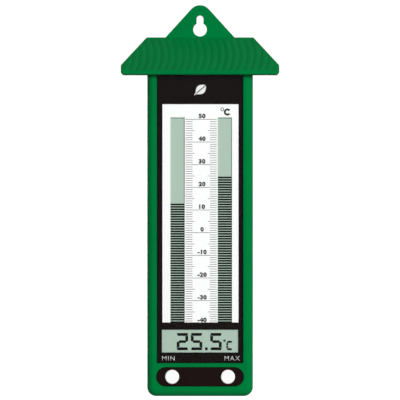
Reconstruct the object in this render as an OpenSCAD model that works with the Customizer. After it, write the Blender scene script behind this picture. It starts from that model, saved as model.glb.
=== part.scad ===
// Wall-hung electronic maximum-minimum thermometer for a greenhouse.
// Two bar graphs beside a printed scale show the lowest and the highest temperature,
// a digital read-out below them shows the present one, and two push buttons sit under it.
// +X is to the right of the display, +Y points at the wall and +Z is up. The origin is the
// centre of the keyhole's round hole, on the back face that lies against the wall.

/* [Body] */
// Width of the two body shells
body_w = 63.5; // [62.5:0.5:66]
// Height of the body shells, from the bottom edge to their top under the roof
body_h = 197; // [196:0.5:198]
// Depth of the body, from the wall to the front rim
body_d = 22; // [22:0.5:26]
// Radius of the body's corners, seen from the front
corner_r = 5.5; // [5:0.5:8]
// Radius that rounds the front rim
rim_r = 4; // [2:0.5:4.5]
// Thickness of the side walls
wall = 2; // [1.8:0.1:2.2]

/* [Roof] */
// Width of the roof across its eaves
roof_w = 95; // [90:1:100]
// Width of the roof along its top edge
roof_top_w = 64.3; // [64:0.1:68]
// How far the eave stands out from the wall
roof_d = 29; // [29:0.5:32]
// Height of the roof from the underside of the eave to its top edge
roof_h = 22.8; // [21:0.2:23]

/* [Hanging tab] */
// Thickness of the tab and of the plate behind the roof
tab_t = 3; // [2.5:0.1:3]
// Height of the tab's tip above the roof's top edge
tab_h = 19.4; // [19:0.2:22]
// Diameter of the keyhole's round hole, which passes a screw head
hole_d = 8.2; // [7.8:0.1:9]
// Width of the keyhole's slot, which holds the screw's shank
slot_w = 4.1; // [4.1:0.1:4.8]

/* [Display] */
// Width of the front window and of the black film behind it
fascia_w = 51.8; // [51:0.1:52.4]
// Width of the clear area over the scale
window_w = 45.7; // [45:0.1:46.4]
// Height of the clear area over the scale
scale_h = 131; // [128:0.5:132]
// Height of the clear area over the read-out
readout_h = 13.7; // [12:0.1:14]
// Width of one bar graph
bar_w = 8.6; // [7:0.1:9]
// How far the pair of bar graphs sits to the right of the middle
bar_shift = 0.7; // [-1:0.1:1]

/* [Buttons] */
// Diameter of a button's cap
button_d = 8.5; // [7.5:0.1:9]
// Distance between the two buttons' centres
button_pitch = 33.5; // [32:0.5:34]
// How far a button goes in
button_travel = 1.1; // [0.6:0.1:1.1]

/* [Hidden] */
$fn = 64;

// Colours
GREEN = [0.0, 0.49, 0.24];
BLACK = [0.11, 0.09, 0.08];
WHITE = [0.96, 0.96, 0.95];
LCD_GREY = [0.67, 0.76, 0.70];
STEEL = [0.75, 0.75, 0.77];

// Heights, measured from the body's bottom edge
eave_z = 192.8;
roof_top_z = eave_z + roof_h;
tab_top_z = roof_top_z + tab_h;
hole_z = tab_top_z - 14.7;
slot_z = hole_z + 6.4;
tab_tip_r = 7.1;
tab_flank = 42.3;
fascia_z = 19.8;
fascia_top_z = body_h - 2;
readout_z = 26.2;
scale_z = 44.2;
bar_top_z = scale_z + scale_h - 7.8;
bar_pitch = 28.4;
window_shift = 0.3;
readout_w = window_w + 0.2;
readout_shift = 0.1;
button_z = 11.6;

// Roof details
roof_wall = 1.8;
lip_h = 2.2;
lip_round_r = 1;
end_round_r = 1.5;
rib_h = 0.35;
rib_pitch = 4.3;
rib_round_r = 5.2;
rib_n = 10;
rib_bow_r = 52;
rib_sweep = 44;
rib_mid = 16;
tongue_top_z = eave_z + 14;

// Planes, as Y coordinates, from the front rim back to the wall
rim_y = -body_d;
lens_front_y = rim_y + 0.5;
lens_back_y = lens_front_y + 1.2;
film_front_y = lens_back_y + 0.03;
film_back_y = film_front_y + 0.2;
front_wall_y = rim_y + 3.6;
split_y = -9;
seam_gap = 0.5;
back_rim_r = 1.2;
back_wall_y = -2;
lcd_glass_t = 1.1;
polariser_t = 0.2;
card_t = 0.5;
card_back_y = film_back_y + card_t;
glass_front_y = card_back_y + polariser_t;
glass_mid_y = glass_front_y + lcd_glass_t;
glass_back_y = glass_mid_y + lcd_glass_t;
reflector_back_y = glass_back_y + 0.3;
holder_back_y = front_wall_y + 3.5;
board_t = 1.6;
board_front_y = holder_back_y + 0.3;
board_back_y = board_front_y + board_t;

// Sizes of the display parts
lcd_w = 49;
lcd_z = 22;
lcd_top_z = 174;
ledge_h = 5;
aperture_w = lcd_w + 0.4;
aperture_z = lcd_z - 0.2;
aperture_top_z = scale_z + scale_h + 1.4;
holder_w = 58;
holder_z = 19.5;
holder_top_z = 177;
board_w = 57;
board_neck_w = 43.4;
board_z = 2.8;
board_step_z = 21.2;
board_top_z = 57;

// Height of the temperature sensor above the circuit board
sensor_gap = 5.4;

// Button parts
pill_h = 11.7;
pill_w = 52.8;
bezel_front_y = rim_y + 0.6;
bezel_back_y = bezel_front_y + 1;
button_r = button_d / 2;
flange_r = button_r + 0.9;
flange_t = 0.8;
dome_h = 2.6;
contact_gap = button_travel + 0.05;
dome_base_r = 4.2;

// Battery compartment: an AAA cell that lies across the body
cell_r = 5.25;
cell_l = 43.5;
nub_r = 1.9;
nub_l = 1;
box_w = 50;
box_wall = 1.6;
box_z = 72.3;
box_top_z = 87.5;
box_floor_y = -12.3;
box_floor_t = 1.1;
cell_y = -6.95;
cell_z = 79.2;
contact_t = 0.4;
cell_plus_x = -box_w / 2 + contact_t;
cell_minus_x = cell_plus_x + nub_l + cell_l;

// Battery door and its hinge
door_w = 49.4;
door_t = 1.5;
door_front_y = -0.1;
door_z = 70.5;
hinge_y = -1.5;
hinge_z = 85.9;
barrel_r = 1.4;
pin_r = 0.9;
pin_l = 1.4;
socket_r = 0.96;

// Screws: [x, z] of each, and their radii
case_screw_at = [for (z = [button_z - 0.6, 186.5], x = [-25, 25]) [x, z]];
roof_screw_at = [for (x = [-16, 16]) [x, eave_z + 8.5]];
holder_screw_at = [for (z = [66, 168], x = [-27.5, 27.5]) [x, z]];
board_screw_at = [for (x = [-26.6, 26.6]) [x, 48]];
case_boss_r = 2.8;
pilot_r = 1.05;
shank_r = 1;
case_head_r = 2.3;
small_head_r = 1.7;
small_shank_r = 0.75;
small_pilot_r = 0.8;
case_head_y = -5;
roof_head_y = -1.4;

// ---------- shapes that repeat ----------

// One sub-part: its colour, moved so that the keyhole is the origin
module piece(colour) color(colour) translate([0, 0, -hole_z]) children();

// Extrudes an outline in X and Z from the plane y = front back to the plane y = back
module slab(front, back)
    rotate([90, 0, 0]) translate([0, 0, -back]) linear_extrude(back - front) children();

// Round bar along Y
module pin_y(x, z, r, front, back) slab(front, back) translate([x, z]) circle(r);

// Rectangle centred on X = 0, from z0 up to z1
module band(w, z0, z1) translate([-w / 2, z0]) square([w, z1 - z0]);

// The same with rounded corners
module round_band(w, z0, z1, r) {
    band(w - 2 * r, z0, z1);
    band(w, z0 + r, z1 - r);
    for (x = [-1, 1], z = [z0 + r, z1 - r]) translate([x * (w / 2 - r), z]) circle(r);
}

// Slot with round ends, lying across
module pill(w, h, z) {
    translate([-(w - h) / 2, z - h / 2]) square([w - h, h]);
    for (x = [-1, 1]) translate([x * (w - h) / 2, z]) circle(h / 2);
}

// Rectangle from the origin whose far upper corner is rounded
module rim_profile(reach, depth, r) {
    square([reach - r, depth]);
    square([reach, depth - r]);
    intersection() {
        translate([reach - r, depth - r]) circle(r);
        square([reach, depth]);
    }
}

// Body outline from the plane y = start, with a rounded far rim.
// A turn of 90 runs towards the front, -90 towards the back.
module body_block(start, depth, r, turn) {
    cx = body_w / 2 - corner_r;
    cz = body_h / 2 - corner_r;
    translate([0, start, body_h / 2]) rotate([turn, 0, 0]) {
        translate([-cx, -cz, 0]) cube([2 * cx, 2 * cz, depth]);
        for (turn = [0, 180]) rotate(turn) {
            translate([cx, cz, 0]) rotate([90, 0, 0]) linear_extrude(2 * cz)
                rim_profile(corner_r, depth, r);
            translate([-cx, cz, 0]) rotate([90, 0, 90]) linear_extrude(2 * cx)
                rim_profile(corner_r, depth, r);
        }
        for (sx = [0, 1], sz = [0, 1])
            translate([(2 * sx - 1) * cx, (2 * sz - 1) * cz, 0])
                rotate(sx == 1 ? (sz == 1 ? 0 : 270) : (sz == 1 ? 90 : 180))
                    rotate_extrude(angle = 90) rim_profile(corner_r, depth, r);
    }
}

// Points of a smooth curve through a route, steps per stretch
function through(a, b, c, d, t) =
    0.5 * (2 * b + (c - a) * t + (2 * a - 5 * b + 4 * c - d) * t * t
        + (3 * b - a - 3 * c + d) * t * t * t);
function smooth(route, steps) = let (last = len(route) - 1) [
    for (i = [0 : last - 1], s = [0 : steps - 1])
        through(route[max(i - 1, 0)], route[i], route[i + 1], route[min(i + 2, last)], s / steps),
    route[last]
];

// Tube of radius r along a path; across is a direction that the path never runs along
function unit(v) = v / norm(v);
function heading(path, i) =
    unit(path[min(i + 1, len(path) - 1)] - path[max(i - 1, 0)]);
function ring(path, i, r, sides, across) = let (
    ahead = heading(path, i), right = unit(cross(ahead, across)), up = cross(right, ahead)
) [for (k = [0 : sides - 1]) path[i] + r * (cos(360 * k / sides) * right + sin(360 * k / sides) * up)];
module tube(path, r, sides, across) {
    last = len(path) - 1;
    polyhedron(
        points = [for (i = [0 : last]) each ring(path, i, r, sides, across)],
        faces = concat(
            [[for (k = [sides - 1 : -1 : 0]) k]],
            [for (i = [0 : last - 1], k = [0 : sides - 1], half = [0, 1])
                let (n = i * sides, a = n + k, b = n + (k + 1) % sides)
                half == 0 ? [a, b + sides, a + sides] : [a, b, b + sides]],
            [[for (k = [0 : sides - 1]) last * sides + k]]
        )
    );
}

// Screw along Y: its head's back face at head_back, its tip at the plane y = tip
module screw(x, z, head_back, head_r, head_t, r, tip) {
    difference() {
        pin_y(x, z, head_r, head_back - head_t, head_back);
        for (turn = [0, 90]) translate([x, head_back, z]) rotate([0, turn, 0])
            cube([head_r * 1.1, head_t, 0.5], center = true);
    }
    pin_y(x, z, r, tip, head_back - head_t);
}

// ---------- casing ----------

module front_case() piece(GREEN) difference() {
    union() {
        difference() {
            body_block(split_y, split_y - rim_y, rim_r, 90);
            slab(front_wall_y, 0) round_band(body_w - 2 * wall, wall, body_h - wall, corner_r - wall);
        }
        for (p = case_screw_at) pin_y(p[0], p[1], case_boss_r, front_wall_y - 0.5, split_y);
    }
    slab(rim_y - 1, film_back_y) round_band(fascia_w + 0.3, fascia_z - 0.15, fascia_top_z + 0.15, 0.6);
    slab(rim_y - 1, 0) band(aperture_w, aperture_z, aperture_top_z);
    slab(rim_y - 1, bezel_back_y) pill(pill_w, pill_h, button_z);
    for (x = [-1, 1]) pin_y(x * button_pitch / 2, button_z, button_r + 0.2, rim_y - 1, 0);
    for (p = case_screw_at) pin_y(p[0], p[1], pilot_r, -17, 0);
    for (p = holder_screw_at) pin_y(p[0], p[1], small_pilot_r, front_wall_y - 2.2, 0);
}

// Hanging tab above the roof: a triangle with a rounded tip
module tab_outline() {
    apex_z = tab_top_z - tab_tip_r;
    foot_z = roof_top_z - 4;
    base_half = tab_tip_r / cos(tab_flank) + (apex_z - foot_z) * tan(tab_flank);
    translate([0, apex_z]) circle(tab_tip_r);
    polygon([
        [-base_half, foot_z], [base_half, foot_z],
        [tab_tip_r * cos(tab_flank), apex_z + tab_tip_r * sin(tab_flank)],
        [-tab_tip_r * cos(tab_flank), apex_z + tab_tip_r * sin(tab_flank)]
    ]);
}

module keyhole() {
    translate([0, hole_z]) circle(hole_d / 2);
    translate([-slot_w / 2, hole_z]) square([slot_w, slot_z - hole_z]);
    translate([0, slot_z]) circle(slot_w / 2);
}

// Battery box outside, and the space inside it that opens through the back wall
module battery_box() {
    slab(box_floor_y - box_floor_t, 0) band(box_w + 2 * box_wall, box_z - 2.2, box_top_z + 1.4);
}

module battery_space() {
    slab(box_floor_y, 1) band(box_w, box_z, box_top_z);
    slab(door_front_y - door_t - 0.1, 1) band(box_w, door_z - 0.3, box_top_z);
    for (x = [-1, 1]) translate([x * box_w / 2, hinge_y, hinge_z]) rotate([0, x * 90, 0])
        cylinder(r = socket_r, h = 1.45);
    slab(-11.6, -9.4) for (x = [-1, 1])
        translate([x * (box_w / 2 - 0.5), box_z - 1]) square([1, 4], center = true);
}

module rear_case() piece(GREEN) difference() {
    union() {
        difference() {
            body_block(split_y + seam_gap, -split_y - seam_gap, back_rim_r, -90);
            slab(split_y - 1, back_wall_y)
                round_band(body_w - 2 * wall, wall, body_h - wall, corner_r - wall);
        }
        // Lip inside the seam, which centres the front shell
        difference() {
            union() {
                slab(split_y - 1.4, split_y + 2)
                    round_band(body_w - 2 * wall - 0.2, wall + 0.1, body_h - wall - 0.1, corner_r - wall);
                slab(split_y, split_y + 2) round_band(body_w - 1, 0.5, body_h - 0.5, corner_r - 0.5);
            }
            slab(split_y - 2, split_y + 3)
                round_band(body_w - 2 * wall - 2, wall + 1, body_h - wall - 1, corner_r - wall - 0.9);
        }
        for (p = case_screw_at) pin_y(p[0], p[1], case_boss_r + 0.6, split_y, 0);
        battery_box();
        // Wall and tongue behind which the roof's back plate lies
        slab(-tab_t - 2, -tab_t) band(body_w - 2, eave_z - 2, body_h - 1);
        slab(-tab_t - 2, -tab_t) band(44, eave_z - 2, tongue_top_z);
        for (p = roof_screw_at) pin_y(p[0], p[1], 3, -10, -tab_t);
    }
    battery_space();
    slab(-tab_t - 0.05, 1) band(body_w + 2, eave_z - 0.1, tab_top_z);
    for (p = roof_screw_at) pin_y(p[0], p[1], pilot_r, -9.5, 1);
    for (p = case_screw_at) {
        pin_y(p[0], p[1], 1.3, split_y - 2, 1);
        pin_y(p[0], p[1], case_head_r + 0.3, case_head_y - 1.6, 1);
    }
    // Air vents over the sensor, and a thumb scoop below the door
    slab(back_wall_y - 1, 1) for (i = [0 : 6]) pill(22, 2, 32 + 4 * i);
    slab(-1.1, 1) pill(14, 7, door_z);
}

// Front outline of the roof, set in by a distance, with rounded corners
module roof_outline(inset, low_z) {
    half = roof_w / 2 - inset;
    top_half = roof_top_w / 2 - inset * 0.42;
    high_z = roof_top_z - inset;
    knee_z = eave_z + 5.8 - inset * 0.42;
    offset(r = 1.8) offset(delta = -1.8) polygon([
        [-half, low_z], [half, low_z], [half, knee_z], [top_half, high_z],
        [-top_half, high_z], [-half, knee_z]
    ]);
}

// Side profile of the roof, as depth and height, set in by a distance
module roof_side(inset, back, low_z) {
    slope = atan2(roof_h - lip_h, roof_d - tab_t);
    drop = inset / cos(slope);
    front = roof_d - inset;
    polygon([
        [-back, low_z],
        for (turn = [0 : 15 : 90])
            [front - lip_round_r * (1 - sin(turn)), low_z + lip_round_r * (1 - cos(turn))],
        [front, eave_z + lip_h - drop + inset * tan(slope)],
        [tab_t, roof_top_z - drop],
        [-back, roof_top_z - drop]
    ]);
}

// Outline of the roof from above, with both front corners rounded
module roof_plan() {
    translate([-roof_w / 2, end_round_r - roof_d]) square([roof_w, roof_d + 1]);
    translate([end_round_r - roof_w / 2, -roof_d]) square([roof_w - 2 * end_round_r, roof_d]);
    for (x = [-1, 1]) translate([x * (roof_w / 2 - end_round_r), end_round_r - roof_d]) circle(end_round_r);
}

module roof_block(inset, back, low_z) intersection() {
    slab(-roof_d - 1, 1) roof_outline(inset, low_z);
    translate([-roof_w, 0, 0]) rotate([90, 0, -90]) mirror([0, 0, 1]) linear_extrude(2 * roof_w)
        roof_side(inset, back, low_z);
}

// Round-topped rib that bows to the right, lying in the XY plane, x to the right of the middle
module rib(x) translate([x - rib_bow_r, rib_mid, 0]) rotate(-rib_sweep / 2)
    rotate_extrude(angle = rib_sweep, $fn = 200) translate([rib_bow_r, 0]) intersection() {
        translate([0, rib_h - rib_round_r]) circle(rib_round_r, $fn = 96);
        translate([-rib_pitch, -0.6]) square([2 * rib_pitch, 2]);
    }

// Moulded corrugation of the slope, cut off flush with the lip's front face
module ribs() {
    slope = atan2(roof_h - lip_h, roof_d - tab_t);
    intersection() {
        translate([0, -roof_d, eave_z + lip_h]) rotate([slope, 0, 0])
            for (i = [-rib_n : rib_n]) rib(i * rib_pitch);
        slab(-roof_d, -tab_t) roof_outline(1.2, eave_z + lip_h - 1);
    }
}

module roof_hood() piece(GREEN) difference() {
    union() {
        difference() {
            intersection() {
                roof_block(0, 0, eave_z);
                translate([0, 0, eave_z - 1]) linear_extrude(roof_h + 2) roof_plan();
            }
            roof_block(roof_wall, -tab_t, eave_z - 1);
        }
        slab(-tab_t, 0) tab_outline();
        for (x = [-40, 40]) intersection() {
            roof_block(0.5, 0, eave_z);
            translate([x - 0.6, -roof_d, eave_z]) cube([1.2, roof_d, roof_h]);
        }
        ribs();
    }
    slab(-tab_t - 1, 1) keyhole();
    for (p = roof_screw_at) {
        pin_y(p[0], p[1], 1.3, -tab_t - 1, 1);
        pin_y(p[0], p[1], case_head_r + 0.3, roof_head_y - 0.9, 1);
    }
}

// ---------- display ----------

// Outline that the front window and the black film share
module fascia_outline() round_band(fascia_w, fascia_z, fascia_top_z, 0.5);

module window_lens() piece([0.85, 0.9, 0.9, 0.3]) slab(lens_front_y, lens_back_y) fascia_outline();

// Black film behind the window, left clear over the scale and over the read-out
module fascia_panel() piece(BLACK) slab(film_front_y, film_back_y) difference() {
    fascia_outline();
    translate([window_shift, 0]) band(window_w, scale_z, scale_z + scale_h);
    translate([readout_shift, 0]) band(readout_w, readout_z, readout_z + readout_h);
}

module scale_card() piece(WHITE) slab(film_back_y, card_back_y) difference() {
    band(lcd_w, scale_z - 2, aperture_top_z - 0.2);
    for (x = [-1, 1]) translate([bar_shift + x * bar_pitch / 2, 0]) band(bar_w, scale_z - 1, bar_top_z);
}

module lcd_front_polariser() piece(LCD_GREY)
    slab(card_back_y, glass_front_y) band(lcd_w - 0.6, lcd_z + 1, lcd_top_z - 0.3);

module lcd_front_glass() piece(LCD_GREY)
    slab(glass_front_y, glass_mid_y) band(lcd_w, lcd_z, lcd_top_z);

module lcd_rear_glass() piece(LCD_GREY)
    slab(glass_mid_y, glass_back_y) band(lcd_w, lcd_z + ledge_h, lcd_top_z);

module lcd_reflector() piece(STEEL)
    slab(glass_back_y, reflector_back_y) band(lcd_w - 0.6, lcd_z + ledge_h + 0.3, lcd_top_z - 0.3);

// Frame that holds the glass against the front wall and carries the circuit board
module lcd_holder() piece(WHITE) difference() {
    union() {
        slab(front_wall_y, holder_back_y) band(lcd_w + 2.4, holder_z, holder_top_z);
        slab(front_wall_y, front_wall_y + 1.5) band(holder_w, holder_z + 3, holder_top_z);
        for (p = board_screw_at) pin_y(p[0], p[1], 1.9, front_wall_y, board_front_y);
    }
    slab(front_wall_y - 1, reflector_back_y) band(lcd_w + 0.3, lcd_z - 0.2, lcd_top_z + 0.2);
    slab(front_wall_y - 1, 0) band(lcd_w - 3, lcd_z + 0.6, lcd_top_z - 2);
    for (p = holder_screw_at) pin_y(p[0], p[1], 0.9, front_wall_y - 1, 0);
    for (p = board_screw_at) pin_y(p[0], p[1], small_pilot_r, board_front_y - 3, 0);
}

module zebra_connector() piece([0.85, 0.6, 0.65])
    slab(glass_mid_y, board_front_y) band(lcd_w - 5, lcd_z + 1.3, lcd_z + 3.9);

// ---------- electronics ----------

module circuit_board() piece([0.75, 0.62, 0.35]) difference() {
    slab(board_front_y, board_back_y) {
        band(board_w, board_step_z, board_top_z);
        band(board_neck_w, board_z, board_step_z + 1);
    }
    for (p = board_screw_at) pin_y(p[0], p[1], 0.9, board_front_y - 1, 0);
}

module chip_blob() piece([0.05, 0.05, 0.05]) intersection() {
    translate([0, board_back_y - 6.5, 40]) sphere(r = 7.9, $fn = 160);
    slab(board_back_y, board_back_y + 3) band(14, 33, 47);
}

module board_components() piece([0.35, 0.3, 0.25]) {
    for (i = [0 : 3]) slab(board_back_y, board_back_y + 0.7)
        translate([-17 + 4 * i, 28]) square([1.3, 2.1]);
    slab(board_back_y, board_back_y + 2.2) translate([12, 30]) round_band(6.4, 0, 2.2, 0.5);
    translate([-14, board_back_y + 2.5, 49]) rotate([0, 90, 0]) cylinder(r = 1, h = 6);
    for (x = [-12.6, -9.4]) pin_y(x, 49, 0.3, board_back_y, board_back_y + 1.7);
}

// Temperature sensor: a bead on two legs that holds it off the board, in the air from the vents
module thermistor() piece([0.1, 0.1, 0.1]) {
    for (x = [-0.8, 0.8]) {
        pin_y(x, 52, 0.22, board_back_y, board_back_y + sensor_gap);
        translate([x, board_back_y + sensor_gap, 49]) cylinder(r = 0.27, h = 3.3);
    }
    translate([0, board_back_y + sensor_gap, 48.6]) sphere(r = 1.7);
}

// ---------- buttons ----------

module button_bezel() piece(BLACK) difference() {
    slab(bezel_front_y, bezel_back_y) pill(pill_w - 0.3, pill_h - 0.3, button_z);
    for (x = [-1, 1]) pin_y(x * button_pitch / 2, button_z, button_r + 0.2, bezel_front_y - 1, 0);
}

// Points a button's or a dome's local +Z at the front and sets it at one button's place
module at_button(side, y) translate([side * button_pitch / 2, y, button_z]) rotate([90, 0, 0]) children();

module button(side) piece(WHITE) at_button(side, front_wall_y + flange_t) {
    cylinder(r = flange_r, h = flange_t - 0.02);
    cap_h = front_wall_y + flange_t - rim_y + 0.9;
    rotate_extrude() {
        square([button_r - 0.7, cap_h]);
        square([button_r, cap_h - 0.7]);
        intersection() {
            translate([button_r - 0.7, cap_h - 0.7]) circle(0.7);
            square([button_r, cap_h]);
        }
    }
    translate([0, 0, -0.4]) cylinder(r = 1.6, h = 1);
}

// Silicone dome whose crown carries the contact down to the board
module dome(side) piece([0.8, 0.8, 0.78]) at_button(side, board_front_y) rotate_extrude() polygon([
    [0, contact_gap], [1.3, contact_gap], [1.3, 1.7], [3.4, 0.5], [3.4, 0],
    [dome_base_r, 0], [dome_base_r, 0.8], [3.6, 0.8], [1.9, dome_h - 0.35], [1.9, dome_h], [0, dome_h]
]);

module mini_dome() dome(-1);
module maxi_dome() dome(1);
module mini_button() button(-1);
module maxi_button() button(1);

// ---------- battery ----------

module battery() piece([0.25, 0.27, 0.3])
    translate([cell_plus_x, cell_y, cell_z]) rotate([0, 90, 0]) {
        cylinder(r = nub_r, h = nub_l + 1);
        translate([0, 0, nub_l]) cylinder(r = cell_r, h = cell_l);
    }

// Contact plate at one end of the box, with a tab that passes out below it
module contact_plate(side) {
    inner = side < 0 ? -box_w / 2 : box_w / 2 - contact_t;
    translate([inner, cell_y - 4, cell_z - 4.6]) cube([contact_t, 8, 9.2]);
    translate([inner, -11.3, box_z - 5]) cube([contact_t, 1.6, cell_z - box_z + 4]);
}

module positive_contact() piece(STEEL) contact_plate(-1);

spring_wire_r = 0.35;
spring_turns = 3.5;
spring_steps = 14;
function spring_path(steps) = [for (i = [0 : steps]) let (
    part = i / steps, turn = 360 * spring_turns * part, r = 3.9 - 1.4 * part,
    x = box_w / 2 - contact_t - spring_wire_r + 0.1
        + (cell_minus_x - box_w / 2 + contact_t + 2 * spring_wire_r - 0.08) * part
) [x, cell_y + r * cos(turn), cell_z + r * sin(turn)]];

module negative_contact() piece(STEEL) {
    contact_plate(1);
    tube(spring_path(spring_turns * spring_steps), spring_wire_r, 8, [1, 0, 0]);
}

// Leads from the contacts' tabs to the circuit board
wire_r = 0.6;
wire_route = [[24, -10.5, 68.2], [22.6, -10.5, 66], [21.6, -10.8, 62.5], [21, -11, 58.5],
    [20.4, -11.3, 55.4], [20, board_back_y + 0.9, 53.4], [20, board_back_y, 53]];
function lead(side) = [for (p = smooth(wire_route, 4)) [side * p[0], p[1], p[2]]];

module wire(side, colour) piece(colour) tube(lead(side), wire_r, 8, [1, 0, 0]);
module red_wire() wire(-1, [0.8, 0.1, 0.08]);
module black_wire() wire(1, [0.08, 0.08, 0.08]);

// Door over the battery box: a plate with a barrel and two pins along its top edge
module battery_door() piece(GREEN) difference() {
    union() {
        slab(door_front_y - door_t, door_front_y) band(door_w, door_z, hinge_z);
        translate([-door_w / 2, hinge_y, hinge_z]) rotate([0, 90, 0]) cylinder(r = barrel_r, h = door_w);
        translate([-door_w / 2 - pin_l, hinge_y, hinge_z]) rotate([0, 90, 0])
            cylinder(r = pin_r, h = door_w + 2 * pin_l);
        slab(-3.3, door_front_y - 0.5) band(9, box_z + 0.3, box_z + 1.3);
    }
    for (i = [0 : 3]) slab(-0.6, 1) band(12, door_z + 1.6 + 1.5 * i, door_z + 2.3 + 1.5 * i);
}

// ---------- fasteners ----------

module case_screws() piece(STEEL)
    for (p = case_screw_at) screw(p[0], p[1], case_head_y, case_head_r, 1.6, shank_r, -16.5);
module roof_screws() piece(STEEL)
    for (p = roof_screw_at) screw(p[0], p[1], roof_head_y, case_head_r, 0.9, shank_r, -9.3);
module holder_screws() piece(STEEL)
    for (p = holder_screw_at)
        screw(p[0], p[1], front_wall_y + 2.5, small_head_r, 1, small_shank_r, front_wall_y - 2);
module board_screws() piece(STEEL)
    for (p = board_screw_at)
        screw(p[0], p[1], board_back_y + 1, small_head_r, 1, small_shank_r, board_front_y - 2.8);

front_case();
rear_case();
roof_hood();
fascia_panel();
window_lens();
scale_card();
lcd_front_polariser();
lcd_front_glass();
lcd_rear_glass();
lcd_reflector();
lcd_holder();
zebra_connector();
circuit_board();
chip_blob();
board_components();
thermistor();
button_bezel();
mini_dome();
maxi_dome();
mini_button();
maxi_button();
battery();
positive_contact();
negative_contact();
red_wire();
black_wire();
battery_door();
case_screws();
roof_screws();
holder_screws();
board_screws();
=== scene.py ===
"""Looks of a wall-hung digital minimum and maximum thermometer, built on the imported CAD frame."""

import math

import bmesh
import bpy
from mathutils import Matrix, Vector


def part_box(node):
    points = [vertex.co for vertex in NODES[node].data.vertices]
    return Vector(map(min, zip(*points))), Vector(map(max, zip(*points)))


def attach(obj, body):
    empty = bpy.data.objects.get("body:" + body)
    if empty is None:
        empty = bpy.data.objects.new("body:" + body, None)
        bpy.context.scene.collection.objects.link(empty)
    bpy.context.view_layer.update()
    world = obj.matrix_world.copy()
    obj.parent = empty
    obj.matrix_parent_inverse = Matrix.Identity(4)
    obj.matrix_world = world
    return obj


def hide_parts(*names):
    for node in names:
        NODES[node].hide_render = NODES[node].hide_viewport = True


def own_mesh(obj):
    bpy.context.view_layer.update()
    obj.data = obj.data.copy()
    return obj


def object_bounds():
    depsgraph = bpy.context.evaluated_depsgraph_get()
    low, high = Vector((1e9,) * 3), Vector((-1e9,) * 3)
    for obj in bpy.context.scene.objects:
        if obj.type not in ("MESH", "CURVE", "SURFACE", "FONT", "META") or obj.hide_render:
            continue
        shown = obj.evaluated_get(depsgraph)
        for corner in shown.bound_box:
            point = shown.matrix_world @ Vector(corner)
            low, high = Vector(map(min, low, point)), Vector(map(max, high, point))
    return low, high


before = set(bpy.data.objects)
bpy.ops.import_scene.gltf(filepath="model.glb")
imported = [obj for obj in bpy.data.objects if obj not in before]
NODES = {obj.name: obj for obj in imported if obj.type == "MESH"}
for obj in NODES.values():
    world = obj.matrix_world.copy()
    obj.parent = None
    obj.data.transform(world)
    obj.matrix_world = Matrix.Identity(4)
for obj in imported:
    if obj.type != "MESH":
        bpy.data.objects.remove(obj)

CAD_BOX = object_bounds()
MM = 0.001

# ---------- places, from the frame ----------

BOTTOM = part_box("front_case")[0].z
CARD_LOW, CARD_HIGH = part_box("scale_card")
CARD_FACE = CARD_LOW.y
FASCIA_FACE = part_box("fascia_panel")[0].y
DISPLAY_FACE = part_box("lcd_front_polariser")[0].y
BOARD_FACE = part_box("circuit_board")[0].y
RIM_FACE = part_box("front_case")[0].y

INK = 0.02 * MM
BAR_MIDDLE = 0.7 * MM
BAR_HALF_PITCH = 14.2 * MM
BAR_WIDTH = 8.6 * MM
WINDOW_BOTTOM = 44.2 * MM
TOP_DEGREE = 50
BOTTOM_DEGREE = -40
TOP_LINE = 166.1 * MM
DEGREE = 1.36 * MM
SEGMENT_PITCH = 1.472 * MM
SEGMENT_HEIGHT = 1.03 * MM
FIRST_SEGMENT = 43.86 * MM
BAR_TOP = 167.3 * MM
BAR_INSET = 0.1 * MM
# Width of the painted shadow lines along the bars' top and right edges, and how far below the bar tops the
# top line sits.
EDGE_SHADOW_WIDTH = 0.4 * MM
EDGE_SHADOW_DROP = 0.4 * MM
MINIMUM_SEGMENTS = 49
MAXIMUM_SEGMENTS = 60


def up(height):
    """Z of a height above the body's bottom edge, in metres."""
    return BOTTOM + height


# ---------- materials ----------


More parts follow.
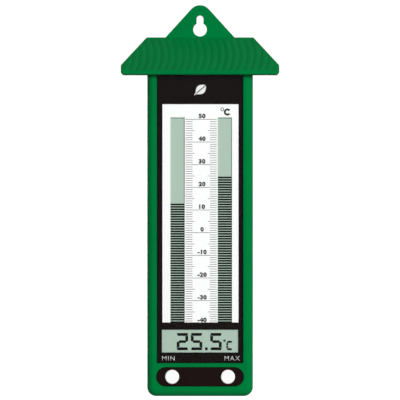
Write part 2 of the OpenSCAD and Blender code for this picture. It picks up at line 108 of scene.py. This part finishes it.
class Surface:
    """A material whose nodes are added one by one. Steady values are set on the shader's own sockets."""

    def __init__(self, name, shader="ShaderNodeBsdfPrincipled", **values):
        self.material = bpy.data.materials.new(name)
        self.material.use_nodes = True
        self.tree = self.material.node_tree
        self.tree.nodes.clear()
        self.output = self.add("ShaderNodeOutputMaterial")
        self.shader = self.add(shader)
        self.join(self.shader.outputs[0], self.output.inputs["Surface"])
        for socket, value in values.items():
            self.shader.inputs[socket.replace("_", " ")].default_value = value
        self.place = self.add("ShaderNodeTexCoord").outputs["Object"]

    def add(self, kind, **settings):
        node = self.tree.nodes.new(kind)
        for key, value in settings.items():
            setattr(node, key, value)
        return node

    def join(self, source, target):
        self.tree.links.new(source, target)
        return target.node

    def stretched(self, scale):
        node = self.add("ShaderNodeMapping")
        node.inputs["Scale"].default_value = scale
        self.join(self.place, node.inputs["Vector"])
        return node.outputs["Vector"]

    def noise(self, size, detail=3.0, scale=(1, 1, 1), rough=0.55):
        """Noise whose features are about size metres across."""
        node = self.add("ShaderNodeTexNoise")
        node.inputs["Scale"].default_value = 1 / size
        node.inputs["Detail"].default_value = detail
        node.inputs["Roughness"].default_value = rough
        self.join(self.stretched(scale), node.inputs["Vector"])
        return node.outputs["Fac"]

    def ramp(self, source, low, high, start=0.3, end=0.7):
        """Colours from low to high as source goes from start to end."""
        node = self.add("ShaderNodeValToRGB")
        first, last = node.color_ramp.elements
        first.position, last.position = start, end
        first.color, last.color = (*low, 1), (*high, 1)
        self.join(source, node.inputs["Fac"])
        return node.outputs["Color"]

    def level(self, source, low, high, start=0.3, end=0.7):
        """A number from low to high as source goes from start to end."""
        node = self.add("ShaderNodeMapRange")
        for socket, value in zip(("From Min", "From Max", "To Min", "To Max"), (start, end, low, high)):
            node.inputs[socket].default_value = value
        self.join(source, node.inputs["Value"])
        return node.outputs["Result"]

    def colour(self, source):
        self.join(source, self.shader.inputs["Base Color"])
        return self

    def rough(self, source, shader=None):
        self.join(source, (shader or self.shader).inputs["Roughness"])
        return self

    def bump(self, source, height, strength=1.0):
        """Relief of this height in metres; a second call adds finer relief on top of the first."""
        node = self.add("ShaderNodeBump")
        node.inputs["Distance"].default_value = height
        node.inputs["Strength"].default_value = strength
        self.join(source, node.inputs["Height"])
        before = self.shader.inputs["Normal"]
        if before.is_linked:
            self.join(before.links[0].from_socket, node.inputs["Normal"])
        self.join(node.outputs["Normal"], before)
        return self


def linear(red, green, blue):
    """Linear colour from 8-bit display values."""
    def one(value):
        value /= 255
        return value / 12.92 if value <= 0.04045 else ((value + 0.055) / 1.055) ** 2.4
    return one(red), one(green), one(blue)


def shade(colour, factor):
    return tuple(min(1.0, channel * factor) for channel in colour)


def moulded(name, colour, roughness, grain, relief, tone=0.05, **values):
    """Injection-moulded plastic: slow tone drift, a fine grain and slow waves in the gloss."""
    s = Surface(name, **values)
    drift = s.noise(18 * MM, 2.0)
    s.colour(s.ramp(drift, shade(colour, 1 - tone), shade(colour, 1 + tone)))
    s.rough(s.level(s.noise(2.5 * MM, 4.0), roughness - 0.04, roughness + 0.04))
    s.bump(s.noise(grain, 2.0), relief)
    s.bump(s.noise(9 * MM, 1.0), 0.03 * MM, 0.15)
    return s.material


def printed(name, colour, roughness=0.55):
    """Screen-printed ink: slightly uneven cover."""
    s = Surface(name)
    s.colour(s.ramp(s.noise(0.4 * MM, 3.0), shade(colour, 0.9), shade(colour, 1.1)))
    s.rough(s.level(s.noise(0.8 * MM), roughness - 0.08, roughness + 0.08))
    s.bump(s.noise(0.15 * MM), 0.004 * MM)
    return s.material


def card_stock():
    s = Surface("card_stock")
    white = (0.98, 0.98, 0.976)
    s.colour(s.ramp(s.noise(0.9 * MM, 5.0), shade(white, 0.985), white))
    s.rough(s.level(s.noise(0.5 * MM), 0.5, 0.62))
    s.bump(s.noise(0.25 * MM, 4.0, (1, 1, 0.35)), 0.006 * MM)
    return s.material


def film():
    """Black printed film with a faint orange-peel gloss."""
    s = Surface("black_film", Specular_IOR_Level=0.04)
    s.colour(s.ramp(s.noise(6 * MM, 3.0), linear(12, 6, 4), linear(16, 10, 7)))
    s.rough(s.level(s.noise(1.2 * MM), 0.26, 0.36))
    s.bump(s.noise(1.4 * MM, 1.0), 0.008 * MM)
    return s.material


def clear(name, mirror_share, tint, roughness):
    """Thin clear sheet: light passes through it, and it mirrors more at a glance than straight on."""
    s = Surface(name, "ShaderNodeMixShader")
    through = s.add("ShaderNodeBsdfTransparent")
    through.inputs["Color"].default_value = (*tint, 1)
    mirror = s.add("ShaderNodeBsdfGlossy")
    s.rough(s.level(s.noise(4 * MM, 2.0), roughness * 0.6, roughness * 1.4), mirror)
    facing = s.add("ShaderNodeLayerWeight")
    facing.inputs["Blend"].default_value = 0.5
    steep = s.add("ShaderNodeMath", operation="POWER")
    steep.inputs[1].default_value = 5.0
    s.join(facing.outputs["Facing"], steep.inputs[0])
    s.join(s.level(steep.outputs[0], mirror_share, 1.0, 0.0, 1.0), s.shader.inputs[0])
    s.join(through.outputs[0], s.shader.inputs[1])
    s.join(mirror.outputs[0], s.shader.inputs[2])
    return s.material


def display_film():
    """Front film of the display: grey-green, with the fine sparkle of the reflector behind it."""
    s = Surface("display_film", Specular_IOR_Level=0.2)
    base = linear(174, 196, 181)
    s.colour(s.ramp(s.noise(0.25 * MM, 4.0), shade(base, 0.95), shade(base, 1.04)))
    s.rough(s.level(s.noise(0.4 * MM), 0.4, 0.55))
    s.bump(s.noise(0.2 * MM), 0.004 * MM)
    return s.material


def crystal():
    """Dark liquid crystal of the segments that are on."""
    s = Surface("dark_crystal", Specular_IOR_Level=0.05)
    s.colour(s.ramp(s.noise(0.8 * MM), linear(0, 2, 1), linear(3, 5, 4)))
    s.rough(s.level(s.noise(0.5 * MM), 0.35, 0.5))
    return s.material


def steel(name, colour, grain_scale):
    s = Surface(name, Metallic=1.0)
    s.colour(s.ramp(s.noise(2 * MM, 4.0), shade(colour, 0.88), shade(colour, 1.08)))
    s.rough(s.level(s.noise(0.3 * MM, 3.0, grain_scale), 0.2, 0.42))
    s.bump(s.noise(0.12 * MM, 3.0, grain_scale), 0.004 * MM)
    return s.material


def laminate():
    """Paper-phenolic board: tan resin with a fibre grain."""
    s = Surface("board_laminate", Specular_IOR_Level=0.4)
    s.colour(s.ramp(s.noise(0.8 * MM, 5.0, (1, 1, 0.2)), linear(150, 112, 58), linear(186, 146, 84)))
    s.rough(s.level(s.noise(1.5 * MM), 0.38, 0.55))
    s.bump(s.noise(0.3 * MM, 3.0, (1, 1, 0.2)), 0.01 * MM)
    return s.material


def resin():
    s = Surface("black_resin")
    s.colour(s.ramp(s.noise(3 * MM, 3.0), linear(14, 14, 15), linear(26, 25, 25)))
    s.rough(s.level(s.noise(1 * MM), 0.18, 0.34))
    s.bump(s.noise(1.6 * MM, 3.0), 0.05 * MM)
    return s.material


def ceramic():
    s = Surface("component_bodies")
    s.colour(s.ramp(s.noise(2.5 * MM, 1.0), linear(120, 92, 66), linear(70, 66, 64), 0.45, 0.55))
    s.rough(s.level(s.noise(0.5 * MM), 0.35, 0.55))
    s.bump(s.noise(0.2 * MM), 0.01 * MM)
    return s.material


def silicone():
    s = Surface("silicone_rubber", Subsurface_Weight=0.2)
    s.shader.inputs["Subsurface Radius"].default_value = (1 * MM, 0.9 * MM, 0.8 * MM)
    s.colour(s.ramp(s.noise(2 * MM), linear(196, 192, 186), linear(214, 210, 204)))
    s.rough(s.level(s.noise(0.6 * MM), 0.5, 0.7))
    s.bump(s.noise(0.2 * MM), 0.008 * MM)
    return s.material


ZEBRA_LAYER = 0.18 * MM


def zebra():
    """Conductive and insulating layers side by side."""
    s = Surface("zebra_rubber")
    bands = s.add("ShaderNodeTexWave", wave_type="BANDS", bands_direction="X")
    bands.inputs["Scale"].default_value = 0.05 / ZEBRA_LAYER
    s.join(s.place, bands.inputs["Vector"])
    s.colour(s.ramp(bands.outputs["Fac"], linear(214, 150, 162), linear(22, 22, 24), 0.4, 0.6))
    s.rough(s.level(s.noise(0.4 * MM), 0.5, 0.68))
    s.bump(s.noise(0.2 * MM), 0.008 * MM)
    return s.material


def battery_label():
    """Plain printed sleeve: slate blue with a pale band near one end, and bare metal at both ends."""
    s = Surface("battery_sleeve", Coat_Weight=0.3)
    low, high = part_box("battery")
    split = s.add("ShaderNodeSeparateXYZ")
    s.join(s.place, split.inputs[0])
    along = s.level(split.outputs["X"], 0.0, 1.0, low.x, high.x)
    bands = s.add("ShaderNodeValToRGB")
    bands.color_ramp.interpolation = "CONSTANT"
    bare, pale, slate = linear(190, 190, 192), linear(216, 218, 214), linear(50, 74, 110)
    stops = [(0.0, bare), (0.035, pale), (0.2, slate), (0.965, bare)]
    elements = bands.color_ramp.elements
    for (position, colour), element in zip(stops, [elements[0], elements[1]]):
        element.position, element.color = position, (*colour, 1)
    for position, colour in stops[2:]:
        elements.new(position).color = (*colour, 1)
    s.join(along, bands.inputs["Fac"])
    s.colour(bands.outputs["Color"])
    s.rough(s.level(s.noise(1.5 * MM), 0.24, 0.36))
    s.bump(s.noise(2.0 * MM, 2.0), 0.02 * MM)
    return s.material


GREEN = linear(0, 117, 56)
GREEN_SHEEN = (0, 0.5, 0.22, 1)
MATERIALS = {
    "green": moulded(
        "green_plastic", GREEN, 0.4, 0.35 * MM, 0.012 * MM,
        Specular_IOR_Level=0.15, Specular_Tint=GREEN_SHEEN,
    ),
    "bezel": moulded(
        "black_plastic", linear(22, 6, 4), 0.42, 0.3 * MM, 0.01 * MM,
        Specular_IOR_Level=0.08,
    ),
    "white": moulded("white_plastic", (0.95, 0.95, 0.945), 0.34, 0.4 * MM, 0.006 * MM, 0.01),
    "film": film(),
    "card": card_stock(),
    "window": clear("clear_window", 0.012, (0.99, 0.993, 0.992), 0.03),
    "display_glass": clear("display_glass", 0.03, (0.95, 0.97, 0.955), 0.05),
    "display": display_film(),
    "crystal": crystal(),
    "tick_ink": printed("tick_ink", linear(56, 54, 56)),
    # Painted shadow: grey-green colour of the lines along the bars' top and right edges.
    "painted_edge_shadow": printed("painted_edge_shadow", linear(112, 130, 120)),
    "number_ink": printed("number_ink", linear(16, 14, 16)),
    "label_ink": printed("label_ink", linear(232, 230, 228)),
    "icon_ink": printed("icon_ink", linear(238, 236, 234)),
    "steel": steel("plated_steel", (0.72, 0.71, 0.69), (1, 1, 0.15)),
    "foil": steel("reflector_foil", (0.78, 0.8, 0.78), (1, 1, 1)),
    "board": laminate(),
    "resin": resin(),
    "ceramic": ceramic(),
    "silicone": silicone(),
    "zebra": zebra(),
    "battery": battery_label(),
    "red": moulded("red_insulation", linear(180, 28, 24), 0.45, 0.4 * MM, 0.01 * MM),
    "black": moulded("black_insulation", linear(24, 24, 25), 0.45, 0.4 * MM, 0.01 * MM),
}

FINISHES = {
    "green": ("front_case", "rear_case", "roof_hood", "battery_door"),
    "bezel": ("button_bezel",),
    "white": ("mini_button", "maxi_button", "lcd_holder"),
    "film": ("fascia_panel",),
    "card": ("scale_card",),
    "window": ("window_lens",),
    "display": ("lcd_front_polariser",),
    "display_glass": ("lcd_front_glass", "lcd_rear_glass"),
    "foil": ("lcd_reflector",),
    "steel": (
        "positive_contact", "negative_contact",
        "case_screws", "roof_screws", "holder_screws", "board_screws",
    ),
    "board": ("circuit_board",),
    "resin": ("chip_blob", "thermistor"),
    "ceramic": ("board_components",),
    "silicone": ("mini_dome", "maxi_dome"),
    "zebra": ("zebra_connector",),
    "battery": ("battery",),
    "red": ("red_wire",),
    "black": ("black_wire",),
}


def finish_nodes():
    for finish, nodes in FINISHES.items():
        for name in nodes:
            slots = NODES[name].data.materials
            slots.clear()
            slots.append(MATERIALS[finish])


# ---------- softened edges on the window, the bezel and the board ----------

EDGE_RADII = {"fascia_panel": 0.12, "button_bezel": 0.25, "window_lens": 0.1, "circuit_board": 0.1}


def join_faces(node):
    """Merges doubled vertices and flat triangles, which a bevel needs."""
    joined = node.modifiers.new("joined_edges", "WELD")
    joined.merge_threshold = 0.001 * MM
    flat = node.modifiers.new("flat_faces", "DECIMATE")
    flat.decimate_type = "DISSOLVE"
    flat.angle_limit = math.radians(0.3)


def soften_edges():
    for name, radius in EDGE_RADII.items():
        join_faces(NODES[name])
        bevel = NODES[name].modifiers.new("soft_edges", "BEVEL")
        bevel.width = radius * MM
        bevel.segments = 3
        bevel.limit_method = "ANGLE"
        bevel.angle_limit = math.radians(32)
        bevel.use_clamp_overlap = True


# ---------- pieces ----------


def piece(name, mesh, material, body="housing"):
    """Adds a piece to the scene, riding on a CAD body."""
    made = bpy.data.objects.new(name, mesh)
    bpy.context.scene.collection.objects.link(made)
    mesh.materials.clear()
    mesh.materials.append(MATERIALS[material])
    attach(made, body)
    return made


def flat_shapes(name, outlines, face_y, thickness):
    """Mesh of thin solids from outlines in X and Z, standing out forwards from the plane y = face_y."""
    build = bmesh.new()
    for outline in outlines:
        corners = [build.verts.new((x, face_y, z)) for x, z in outline]
        back = build.faces.new(corners)
        grown = bmesh.ops.extrude_face_region(build, geom=[back])
        raised = [v for v in grown["geom"] if isinstance(v, bmesh.types.BMVert)]
        bmesh.ops.translate(build, verts=raised, vec=(0, -thickness, 0))
    bmesh.ops.recalc_face_normals(build, faces=build.faces)
    mesh = bpy.data.meshes.new(name)
    build.to_mesh(mesh)
    build.free()
    return mesh


def box_outline(x0, x1, z0, z1):
    return [(x0, z0), (x1, z0), (x1, z1), (x0, z1)]


def arc(x, z, radius, start, end, steps):
    """Points on a circle, from the angle start to the angle end, in degrees."""
    turns = [math.radians(start + (end - start) * i / steps) for i in range(steps + 1)]
    return [(x + radius * math.cos(t), z + radius * math.sin(t)) for t in turns]


def sector(x, z, outer, inner, start, end, steps=28):
    """Outline of a band that follows a circle."""
    return arc(x, z, outer, start, end, steps) + arc(x, z, inner, end, start, steps)


def ring_shapes(x, z, outer, inner):
    """A closed ring, as two half bands."""
    return [sector(x, z, outer, inner, 0, 180), sector(x, z, outer, inner, 180, 360)]


LETTER_SPACING = 1.14


def lettering(name, words, height, middle, face_y, weight=0.0, stretch=1.0):
    """Thin raised lettering, centred on middle = (x, z) by its own box and as tall as height."""
    curve = bpy.data.curves.new(name, "FONT")
    curve.body = words
    curve.offset = weight
    curve.space_character = LETTER_SPACING
    curve.resolution_u = 6
    source = bpy.data.objects.new(name + "_source", curve)
    bpy.context.scene.collection.objects.link(source)
    bpy.context.view_layer.update()
    mesh = bpy.data.meshes.new_from_object(source.evaluated_get(bpy.context.evaluated_depsgraph_get()))
    mesh.name = name
    bpy.data.objects.remove(source)
    bpy.data.curves.remove(curve)
    low = [min(v.co[i] for v in mesh.vertices) for i in (0, 1)]
    high = [max(v.co[i] for v in mesh.vertices) for i in (0, 1)]
    scale = height / (high[1] - low[1])
    for v in mesh.vertices:
        x = middle[0] + (v.co.x - (low[0] + high[0]) / 2) * scale * stretch
        z = middle[1] + (v.co.y - (low[1] + high[1]) / 2) * scale
        v.co = (x, face_y, z)
    build = bmesh.new()
    build.from_mesh(mesh)
    bmesh.ops.remove_doubles(build, verts=build.verts, dist=1e-7)
    grown = bmesh.ops.extrude_face_region(build, geom=list(build.faces))
    raised = [v for v in grown["geom"] if isinstance(v, bmesh.types.BMVert)]
    bmesh.ops.translate(build, verts=raised, vec=(0, -INK, 0))
    bmesh.ops.recalc_face_normals(build, faces=build.faces)
    build.to_mesh(mesh)
    build.free()
    return mesh


TICK_OUTER = 9.4 * MM
TICK_INNER = 5.2 * MM
FIVE_INNER = 4.0 * MM
LINE = 0.3 * MM


def scale_ticks():
    """A line for each degree beside both bars, longer at every fifth and right across at every tenth."""
    outlines = []
    for degree in range(BOTTOM_DEGREE, TOP_DEGREE + 1):
        z = up(TOP_LINE - (TOP_DEGREE - degree) * DEGREE)
        if z - LINE < up(WINDOW_BOTTOM):
            continue
        low, high = z - LINE / 2, z + LINE / 2
        if degree % 10 == 0:
            outlines.append(box_outline(BAR_MIDDLE - TICK_OUTER, BAR_MIDDLE + TICK_OUTER, low, high))
            continue
        inner = FIVE_INNER if degree % 5 == 0 else TICK_INNER
        for side in (-1, 1):
            ends = sorted((BAR_MIDDLE + side * inner, BAR_MIDDLE + side * TICK_OUTER))
            outlines.append(box_outline(*ends, low, high))
    mesh = flat_shapes("scale_ticks", outlines, CARD_FACE, INK)
    piece("scale_ticks", mesh, "tick_ink")


NUMBER_HEIGHT = 2.8 * MM
NUMBER_MIDDLE = 1.25 * MM
NUMBER_RISE = 0.6 * MM


def scale_numbers():
    """The tens, each just above its line."""
    for degree in range(BOTTOM_DEGREE, TOP_DEGREE + 1, 10):
        line = up(TOP_LINE - (TOP_DEGREE - degree) * DEGREE)
        name = f"number_{'minus_' if degree < 0 else ''}{abs(degree)}"
        middle = (NUMBER_MIDDLE, line + NUMBER_RISE + NUMBER_HEIGHT / 2)
        mesh = lettering(name, str(degree), NUMBER_HEIGHT, middle, CARD_FACE, 0.06, 1.08)
        piece(name, mesh, "number_ink")


def degree_sign():
    """Degrees Celsius, printed at the top right of the scale."""
    ring = ring_shapes(13.35 * MM, up(172.1 * MM), 1.1 * MM, 0.66 * MM)
    letter = [sector(16.45 * MM, up(170.5 * MM), 2.15 * MM, 0.95 * MM, 36, 324)]
    shapes = flat_shapes("degree_sign", ring + letter, CARD_FACE, INK)
    piece("degree_sign", shapes, "number_ink")


def display_bars():
    """Lit segments of both bar graphs, with a thin line of painted shadow along their top and right edges,
    where the card's cut edge would shade the display.
    """
    bars = (("minimum_bar", -1, MINIMUM_SEGMENTS), ("maximum_bar", 1, MAXIMUM_SEGMENTS))
    for name, side, lit in bars:
        middle = BAR_MIDDLE + side * BAR_HALF_PITCH
        left, right = middle - BAR_WIDTH / 2 + BAR_INSET, middle + BAR_WIDTH / 2 - BAR_INSET
        inner, top = right - EDGE_SHADOW_WIDTH, up(BAR_TOP)
        line_top = top - EDGE_SHADOW_DROP
        # Painted shadow: a line down the right edge and one just below the top edge of each bar, standing
        # in for the shade of the card's cut edge.
        edge_shadow = [
            box_outline(inner, right, up(FIRST_SEGMENT), top),
            box_outline(left, inner, line_top - EDGE_SHADOW_WIDTH, line_top),
        ]
        mesh = flat_shapes(f"{name}_border", edge_shadow, DISPLAY_FACE, INK / 2)
        piece(f"{name}_border", mesh, "painted_edge_shadow")
        outlines = []
        for i in range(lit):
            low = up(FIRST_SEGMENT + i * SEGMENT_PITCH)
            outlines.append(box_outline(left, right, low, low + SEGMENT_HEIGHT))
        mesh = flat_shapes(name, outlines, DISPLAY_FACE, INK)
        piece(name, mesh, "crystal")


DIGIT_HEIGHT = 10.3 * MM
DIGIT_WIDTH = 6.9 * MM
STROKE = 1.7 * MM
DIGIT_BASE = 27.55 * MM
SEGMENT_GAP = 0.12 * MM
LIT = {"2": "abged", "5": "afgcd"}
FIGURES = (("2", -14.0 * MM), ("5", -5.5 * MM), ("5", 6.15 * MM))
POINT = (3.0 * MM, 4.6 * MM)


def digit(figure, left, base):
    """Outlines of the lit segments of a seven-segment figure, with mitred corners."""
    x, z = left + DIGIT_WIDTH / 2, base + DIGIT_HEIGHT / 2
    wide, tall, gap = DIGIT_WIDTH / 2, DIGIT_HEIGHT / 2, SEGMENT_GAP
    inner, ceiling = wide - STROKE, tall - STROKE
    end, shoulder, heel = wide - STROKE * 0.2, tall - STROKE * 0.4, wide - STROKE * 0.4
    across = [
        (-end, tall), (end, tall), (wide - gap, shoulder + gap),
        (heel, ceiling), (-heel, ceiling), (-wide + gap, shoulder + gap),
    ]
    upright = [
        (wide, shoulder - gap), (wide, STROKE * 0.2), (wide - STROKE / 2, gap / 2),
        (inner, STROKE / 2), (inner, ceiling - gap), (heel, ceiling - gap),
    ]
    tip, half = inner + STROKE / 2 - gap, STROKE / 2 - gap / 2
    middle = [(-tip, 0), (-inner, half), (inner, half), (tip, 0), (inner, -half), (-inner, -half)]
    mirrored = {
        "a": (across, 1, 1), "d": (across, 1, -1), "g": (middle, 1, 1),
        "b": (upright, 1, 1), "c": (upright, 1, -1), "e": (upright, -1, -1), "f": (upright, -1, 1),
    }
    shapes = []
    for name in LIT[figure]:
        outline, sx, sz = mirrored[name]
        shapes.append([(x + sx * a, z + sz * b) for a, b in outline])
    return shapes


def rounded_bar(x0, x1, z0, z1):
    """A short stroke with clipped corners."""
    clip = min(x1 - x0, z1 - z0) * 0.3
    return [
        (x0, z0 + clip), (x0 + clip, z0), (x1 - clip, z0), (x1, z0 + clip),
        (x1, z1 - clip), (x1 - clip, z1), (x0 + clip, z1), (x0, z1 - clip),
    ]


def read_out():
    """The present temperature, 25.5 degrees Celsius."""
    base = up(DIGIT_BASE)
    shapes = []
    for figure, left in FIGURES:
        shapes += digit(figure, left, base)
    shapes.append(box_outline(*POINT, base, base + 1.65 * MM))
    left, right, low, high, thin = 15.75 * MM, 19.2 * MM, base, base + 5.6 * MM, 1.2 * MM
    centre = (low + high) / 2
    shapes.append(rounded_bar(left + thin * 0.4, right, low, low + thin))
    shapes.append(rounded_bar(left + thin * 0.4, right, high - thin, high))
    shapes.append(rounded_bar(left, left + thin, low + thin, centre - 0.1 * MM))
    shapes.append(rounded_bar(left, left + thin, centre + 0.1 * MM, high - thin))
    shapes += ring_shapes(14.7 * MM, base + 5.7 * MM, 0.72 * MM, 0.15 * MM)
    mesh = flat_shapes("read_out", shapes, DISPLAY_FACE, INK)
    piece("read_out", mesh, "crystal")


LABELS = (("MIN", -19.0 * MM), ("MAX", 19.3 * MM))
LABEL_HEIGHT = 2.6 * MM
LABEL_BASE = 21.4 * MM
LEAF_MIDDLE = 183.6 * MM
LEAF_LENGTH = 9.0 * MM


def fascia_print():
    """Plain labels over the buttons, and a leaf at the top."""
    for words, x in LABELS:
        name = f"label_{words.lower()}"
        middle = (x, up(LABEL_BASE) + LABEL_HEIGHT / 2)
        mesh = lettering(name, words, LABEL_HEIGHT, middle, FASCIA_FACE, -0.012, 1.06)
        piece(name, mesh, "label_ink")
    piece("leaf_icon", leaf_mesh(0, up(LEAF_MIDDLE), LEAF_LENGTH), "icon_ink")


def leaf_mesh(x, z, size):
    """Two leaf halves on either side of a midrib, with a short stalk, leaning to the right."""
    steps = 24
    lean = math.radians(40)
    length, width, rib = size, size * 0.27, size * 0.03

    def placed(along, across):
        return (
            x + (along - length / 2) * math.cos(lean) - across * math.sin(lean),
            z + (along - length / 2) * math.sin(lean) + across * math.cos(lean),
        )

    shapes = []
    for side in (-1, 1):
        edge = []
        for i in range(steps + 1):
            t = i / steps
            reach = rib + width * math.sin(math.pi * t) ** 0.9
            edge.append(placed(length * (0.14 + 0.86 * t), side * reach))
        shapes.append(edge)
    shapes.append([
        placed(0, -rib), placed(length * 0.2, -rib * 0.7), placed(length * 0.2, rib * 0.7), placed(0, rib),
    ])
    return flat_shapes("leaf_icon", shapes, FASCIA_FACE, INK)


def rubber_domes():
    """Silicone domes under the buttons."""
    profile = [
        (0.0, 1.15), (1.25, 1.15), (1.3, 1.25), (1.35, 1.7), (3.3, 0.55), (3.4, 0.4), (3.4, 0.0),
        (4.2, 0.0), (4.2, 0.7), (4.1, 0.8), (3.7, 0.85), (3.4, 1.0), (2.1, 2.1), (1.9, 2.3),
        (1.88, 2.52), (1.75, 2.6), (0.0, 2.6),
    ]
    for side in ("mini", "maxi"):
        low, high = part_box(f"{side}_dome")
        x, z = (low.x + high.x) / 2, (low.z + high.z) / 2
        build = bmesh.new()
        line = [build.verts.new((x + r * MM, BOARD_FACE - h * MM, z)) for r, h in profile]
        for a, b in zip(line, line[1:]):
            build.edges.new((a, b))
        bmesh.ops.spin(
            build, geom=build.verts[:] + build.edges[:], cent=(x, 0, z), axis=(0, 1, 0),
            angle=math.tau, steps=48, use_merge=True,
        )
        bmesh.ops.remove_doubles(build, verts=build.verts, dist=1e-7)
        bmesh.ops.recalc_face_normals(build, faces=build.faces)
        for face in build.faces:
            face.smooth = True
        mesh = bpy.data.meshes.new(f"silicone_dome_{side}")
        build.to_mesh(mesh)
        build.free()
        dome = piece(mesh.name, mesh, "silicone")
        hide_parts(f"{side}_dome")
        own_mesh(dome)


# ---------- studio ----------

CAMERA_LENS = 800
CAMERA_HEIGHT = 117.7 * MM
FRAME_HEIGHT = 240 * MM
KEY_OFFSET = Vector((1.3, -2.3, 0.62))
BACK_OFFSET = Vector((-0.9, 2.4, 0.25))
ROOM_LIGHT = 0.29


def studio():
    """A round cove with a plain pale floor, so that every view has the same background."""
    radius, rise, wall_top = 8.0, 1.5, 6.0
    profile = [(0.0, 0.0), (radius - rise, 0.0)]
    bend = [math.radians(6 * i) for i in range(1, 16)]
    profile += [(radius - rise + rise * math.sin(t), rise - rise * math.cos(t)) for t in bend]
    profile.append((radius, wall_top))
    build = bmesh.new()
    line = [build.verts.new((r, 0, BOTTOM + z)) for r, z in profile]
    for a, b in zip(line, line[1:]):
        build.edges.new((a, b))
    bmesh.ops.spin(
        build, geom=build.verts[:] + build.edges[:], cent=(0, 0, 0), axis=(0, 0, 1),
        angle=math.tau, steps=96, use_merge=True,
    )
    bmesh.ops.remove_doubles(build, verts=build.verts, dist=1e-5)
    for face in build.faces:
        face.smooth = True
    mesh = bpy.data.meshes.new("studio_cove")
    build.to_mesh(mesh)
    build.free()
    cove = bpy.data.objects.new("studio_cove", mesh)
    bpy.context.scene.collection.objects.link(cove)
    paint = Surface("studio_paint", Roughness=0.9, Specular_IOR_Level=0.1, Emission_Strength=0.93)
    paint.shader.inputs["Base Color"].default_value = (0.35, 0.35, 0.35, 1)
    paint.shader.inputs["Emission Color"].default_value = (1, 1, 1, 1)
    mesh.materials.append(paint.material)
    cove.visible_diffuse = False
    cove.visible_glossy = False


def lamp(name, place, target, size, power):
    """A round lamp of this size in metres and this power in watts, aimed at the target."""
    light = bpy.data.lights.new(name, "AREA")
    light.shape = "DISK"
    light.size = size
    light.energy = power
    holder = bpy.data.objects.new(name, light)
    bpy.context.scene.collection.objects.link(holder)
    holder.location = place
    holder.rotation_euler = (Vector(target) - Vector(place)).to_track_quat("-Z", "Y").to_euler()


def lights():
    centre = (CAD_BOX[0] + CAD_BOX[1]) / 2
    lamp("key", centre + KEY_OFFSET, centre, 0.8, 67)
    lamp("back", centre + BACK_OFFSET, centre, 1.6, 34)
    world = bpy.data.worlds.new("soft_room")
    bpy.context.scene.world = world
    world.use_nodes = True
    background = world.node_tree.nodes["Background"]
    background.inputs["Color"].default_value = (1, 1, 1, 1)
    background.inputs["Strength"].default_value = ROOM_LIGHT


def camera():
    """Straight on, from far enough away that the eave hides its own underside almost wholly."""
    data = bpy.data.cameras.new("camera")
    data.lens = CAMERA_LENS
    data.sensor_width = 36
    eye = bpy.data.objects.new("camera", data)
    bpy.context.scene.collection.objects.link(eye)
    distance = FRAME_HEIGHT * CAMERA_LENS / data.sensor_width
    eye.location = (0, RIM_FACE - distance, up(CAMERA_HEIGHT))
    eye.rotation_euler = (math.radians(90), 0, 0)
    data.clip_end = 50
    bpy.context.scene.camera = eye
    bpy.context.scene.view_settings.view_transform = "Standard"


finish_nodes()
soften_edges()
scale_ticks()
scale_numbers()
degree_sign()
display_bars()
read_out()
fascia_print()
rubber_domes()
studio()
lights()
camera()


def corners(bounds):
    return [[round(v, 6) for v in corner] for corner in bounds]
